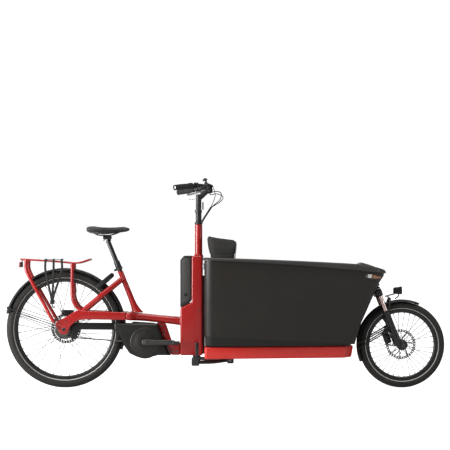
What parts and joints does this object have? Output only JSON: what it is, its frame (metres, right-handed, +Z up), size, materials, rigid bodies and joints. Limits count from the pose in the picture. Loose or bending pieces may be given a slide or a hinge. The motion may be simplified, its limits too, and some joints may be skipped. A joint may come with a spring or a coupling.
{
  "type": "cargo bicycle",
  "caption": "Front-loading electric cargo bicycle with a long wheelbase, a child bench inside an open load box, a rear rack and a folded centre stand.",
  "frame": {"origin": "on the ground, at the middle of the bicycle's length and width", "axes": "+X forward to the front wheel, +Y to the rider's left, +Z up"},
  "size_m": [2.6402, 0.6478, 1.256],
  "materials": {
    "red_paint": "gloss",
    "black_paint": "satin",
    "plastic": "matte, fine grain",
    "rubber": "matte",
    "tyre": "matte with a pale reflective stripe",
    "steel": "brushed",
    "alloy": "satin",
    "fabric": "matte",
    "red_lens": "gloss",
    "webbing": "matte"
  },
  "bodies": {
    "frame": {"main_beam": "red_paint", "seat_tube": "red_paint", "seat_collar": "black_paint", "post_head": "black_paint", "rear_stay_right": "red_paint", "rear_stay_left": "red_paint", "battery_column": "red_paint", "battery_pack": "plastic", "motor_mount": "red_paint", "motor_unit": "plastic", "motor_cover": "plastic", "chain_case": "plastic", "chain": "steel", "platform": "red_paint", "front_down_tube": "red_paint", "cargo_box": "plastic", "box_rim": "plastic", "nose_cowl": "plastic", "bench_seat": "fabric", "bench_back": "fabric", "rear_mudguard": "black_paint", "rear_rack": "red_paint", "rack_strap": "webbing", "tail_light": "red_lens", "frame_lock": "plastic", "rear_caliper": "black_paint"},
    "seat": {"seat_post": "black_paint", "saddle": "rubber"},
    "steerer": {"steerer": "black_paint"},
    "bar": {"stem": "black_paint", "handlebar": "black_paint", "grip_left": "rubber", "grip_right": "rubber", "brake_body_left": "black_paint", "brake_body_right": "black_paint", "display": "plastic", "bell": "black_paint", "control_cables": "rubber"},
    "brake_lever_left": {"brake_lever_left": "alloy"},
    "brake_lever_right": {"brake_lever_right": "alloy"},
    "shifter": {"twist_shifter": "rubber"},
    "height_lever": {"stem_lever": "black_paint"},
    "fork": {"fork_crown": "black_paint"},
    "fork_lower": {"fork_lowers": "black_paint", "front_mudguard": "black_paint", "headlight": "black_paint", "front_caliper": "black_paint"},
    "front_wheel": {"front_tyre": "tyre", "front_rim": "black_paint", "front_hub": "black_paint", "front_rotor": "steel"},
    "rear_wheel": {"rear_tyre": "tyre", "rear_rim": "black_paint", "rear_hub": "black_paint", "rear_rotor": "steel"},
    "cranks": {"crank_right": "black_paint", "crank_left": "black_paint"},
    "pedal_right": {"pedal_right": "rubber"},
    "pedal_left": {"pedal_left": "rubber"},
    "stand": {"kickstand": "black_paint"}
  },
  "joints": [
    {"name": "saddle_height", "type": "slide", "parent": "frame", "child": "seat", "axis": [-0.3746, 0, 0.9272], "range_m": [-0.1, 0]},
    {"name": "handlebar_turn", "type": "hinge", "parent": "frame", "child": "steerer", "pos_m": [-0.159, 0, 0.98], "axis": [0, 0, 1], "range_deg": [-45, 45]},
    {"name": "handlebar_height", "type": "slide", "parent": "steerer", "child": "bar", "axis": [0, 0, 1], "range_m": [0, 0.08], "deforming": ["control_cables"]},
    {"name": "height_lever_swing", "type": "hinge", "parent": "steerer", "child": "height_lever", "pos_m": [-0.133, 0, 1.0755], "axis": [0, 1, 0], "range_deg": [0, 60]},
    {"name": "left_brake_pull", "type": "hinge", "parent": "bar", "child": "brake_lever_left", "pos_m": [-0.15166, 0.25437, 1.16568], "axis": [0.3597, 0.6204, 0.6969], "range_deg": [0, 16], "stiffness_Nm_per_rad": 1, "springref_deg": -11.46},
    {"name": "right_brake_pull", "type": "hinge", "parent": "bar", "child": "brake_lever_right", "pos_m": [-0.15166, -0.25437, 1.16568], "axis": [-0.3597, 0.6204, -0.6969], "range_deg": [0, 16], "stiffness_Nm_per_rad": 1, "springref_deg": -11.46},
    {"name": "shifter_twist", "type": "hinge", "parent": "bar", "child": "shifter", "pos_m": [-0.20331, -0.2462, 1.20151], "axis": [-0.8109, -0.5743, -0.1126], "range_deg": [-50, 50]},
    {"name": "fork_turn", "type": "hinge", "parent": "frame", "child": "fork", "pos_m": [0.917, 0, 0.575], "axis": [-0.3681, 0, 0.9298], "range_deg": [-45, 45]},
    {"name": "fork_travel", "type": "slide", "parent": "fork", "child": "fork_lower", "axis": [-0.3681, 0, 0.9298], "range_m": [0, 0.045], "stiffness_N_per_m": 12000, "springref_m": -0.035},
    {"name": "front_wheel_spin", "type": "hinge", "parent": "fork_lower", "child": "front_wheel", "pos_m": [1.064, 0, 0.258], "axis": [0, 1, 0], "continuous": true},
    {"name": "rear_wheel_spin", "type": "hinge", "parent": "frame", "child": "rear_wheel", "pos_m": [-0.963, 0, 0.353], "axis": [0, 1, 0], "continuous": true},
    {"name": "crank_spin", "type": "hinge", "parent": "frame", "child": "cranks", "pos_m": [-0.478, 0, 0.277], "axis": [0, 1, 0], "continuous": true},
    {"name": "right_pedal_spin", "type": "hinge", "parent": "cranks", "child": "pedal_right", "pos_m": [-0.308, -0.158, 0.277], "axis": [0, 1, 0], "continuous": true},
    {"name": "left_pedal_spin", "type": "hinge", "parent": "cranks", "child": "pedal_left", "pos_m": [-0.648, 0.158, 0.277], "axis": [0, 1, 0], "continuous": true},
    {"name": "stand_swing", "type": "hinge", "parent": "frame", "child": "stand", "pos_m": [0.03, 0, 0.17], "axis": [0, -1, 0], "range_deg": [0, 52], "stiffness_Nm_per_rad": 3, "springref_deg": -68.75}
  ],
  "couplings": [
    {"joint": "handlebar_turn", "follows": "fork_turn", "ratio": 1}
  ]
}
